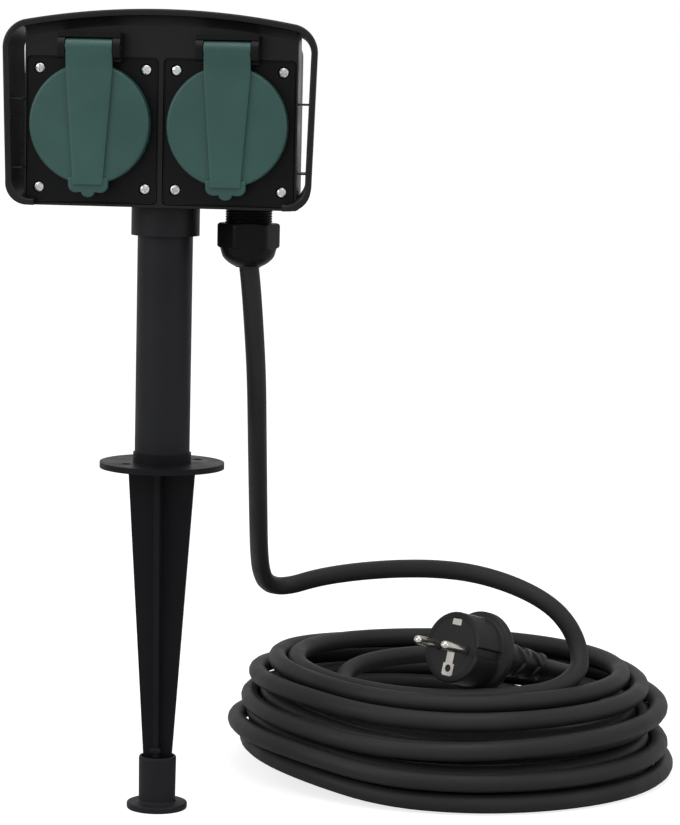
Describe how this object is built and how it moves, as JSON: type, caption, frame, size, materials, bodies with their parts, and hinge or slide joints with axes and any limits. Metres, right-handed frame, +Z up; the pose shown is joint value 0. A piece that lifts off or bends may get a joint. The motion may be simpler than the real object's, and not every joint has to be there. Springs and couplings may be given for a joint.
{
  "type": "garden socket spike",
  "caption": "Outdoor twin socket box with sprung round lids on a pole with a ribbed ground spike, tip cap, cable gland and a coiled rubber cord ending in a plug.",
  "frame": {"origin": "middle of the underside of the tip cap's foot disc, on the floor", "axes": "+Z up along the pole, -Y the front with the two lids, +X to the viewer's right when facing the front"},
  "size_m": [0.3454, 0.2886, 0.408],
  "materials": {
    "frame_plastic": "black moulded plastic, softly glossy",
    "socket_plastic": "black moulded plastic, fine grain",
    "lid_plastic": "dark green moulded plastic, satin",
    "seal_rubber": "black sealing rubber",
    "screw_steel": "zinc plated steel",
    "contact_brass": "bright brass",
    "clip_metal": "nickel plated spring strip",
    "wire_brown": "brown insulation",
    "wire_blue": "blue insulation",
    "wire_green": "green and yellow insulation",
    "pole_plastic": "black drawn plastic tube, satin",
    "spike_plastic": "black moulded plastic",
    "cap_rubber": "black soft plastic",
    "gland_plastic": "black moulded nylon",
    "cord_rubber": "black cable rubber, dull",
    "plug_rubber": "black moulded rubber",
    "bridge_plastic": "black hard plastic",
    "pin_nickel": "nickel plated brass"
  },
  "bodies": {
    "stand": {"front_frame": "frame_plastic", "rear_housing": "frame_plastic", "housing_seal": "seal_rubber", "housing_screws": "screw_steel", "socket_left": "socket_plastic", "flange_seal_left": "seal_rubber", "flange_screws_left": "screw_steel", "hinge_pin_left": "screw_steel", "lid_spring_left": "screw_steel", "live_contacts_left": "contact_brass", "earth_clips_left": "clip_metal", "terminal_screws_left": "screw_steel", "socket_right": "socket_plastic", "flange_seal_right": "seal_rubber", "flange_screws_right": "screw_steel", "hinge_pin_right": "screw_steel", "lid_spring_right": "screw_steel", "live_contacts_right": "contact_brass", "earth_clips_right": "clip_metal", "terminal_screws_right": "screw_steel", "wire_live": "wire_brown", "wire_neutral": "wire_blue", "wire_earth": "wire_green", "pole_tube": "pole_plastic", "pole_screw": "screw_steel", "ground_spike": "spike_plastic", "gland_body": "gland_plastic", "gland_nut": "gland_plastic", "gland_seal": "seal_rubber", "gland_locknut": "gland_plastic", "cord_drop": "cord_rubber", "cord_coil": "cord_rubber", "cord_tail": "cord_rubber", "plug_body": "plug_rubber", "plug_bridge": "bridge_plastic", "plug_pins": "pin_nickel", "plug_earth_clips": "clip_metal"},
    "lid_left": {"lid_left": "lid_plastic", "lid_seal_left": "seal_rubber"},
    "lid_right": {"lid_right": "lid_plastic", "lid_seal_right": "seal_rubber"},
    "tip_cap": {"tip_cap": "cap_rubber"}
  },
  "joints": [
    {"name": "lid_hinge_left", "type": "hinge", "parent": "stand", "child": "lid_left", "pos_m": [-0.03426, -0.032, 0.389], "axis": [-1, 0, 0], "range_deg": [0, 105], "stiffness_Nm_per_rad": 0.02},
    {"name": "lid_hinge_right", "type": "hinge", "parent": "stand", "child": "lid_right", "pos_m": [0.03426, -0.032, 0.389], "axis": [-1, 0, 0], "range_deg": [0, 105], "stiffness_Nm_per_rad": 0.02},
    {"name": "tip_cap_pull", "type": "slide", "parent": "stand", "child": "tip_cap", "axis": [0, 0, -1], "range_m": [0, 0.025]}
  ]
}
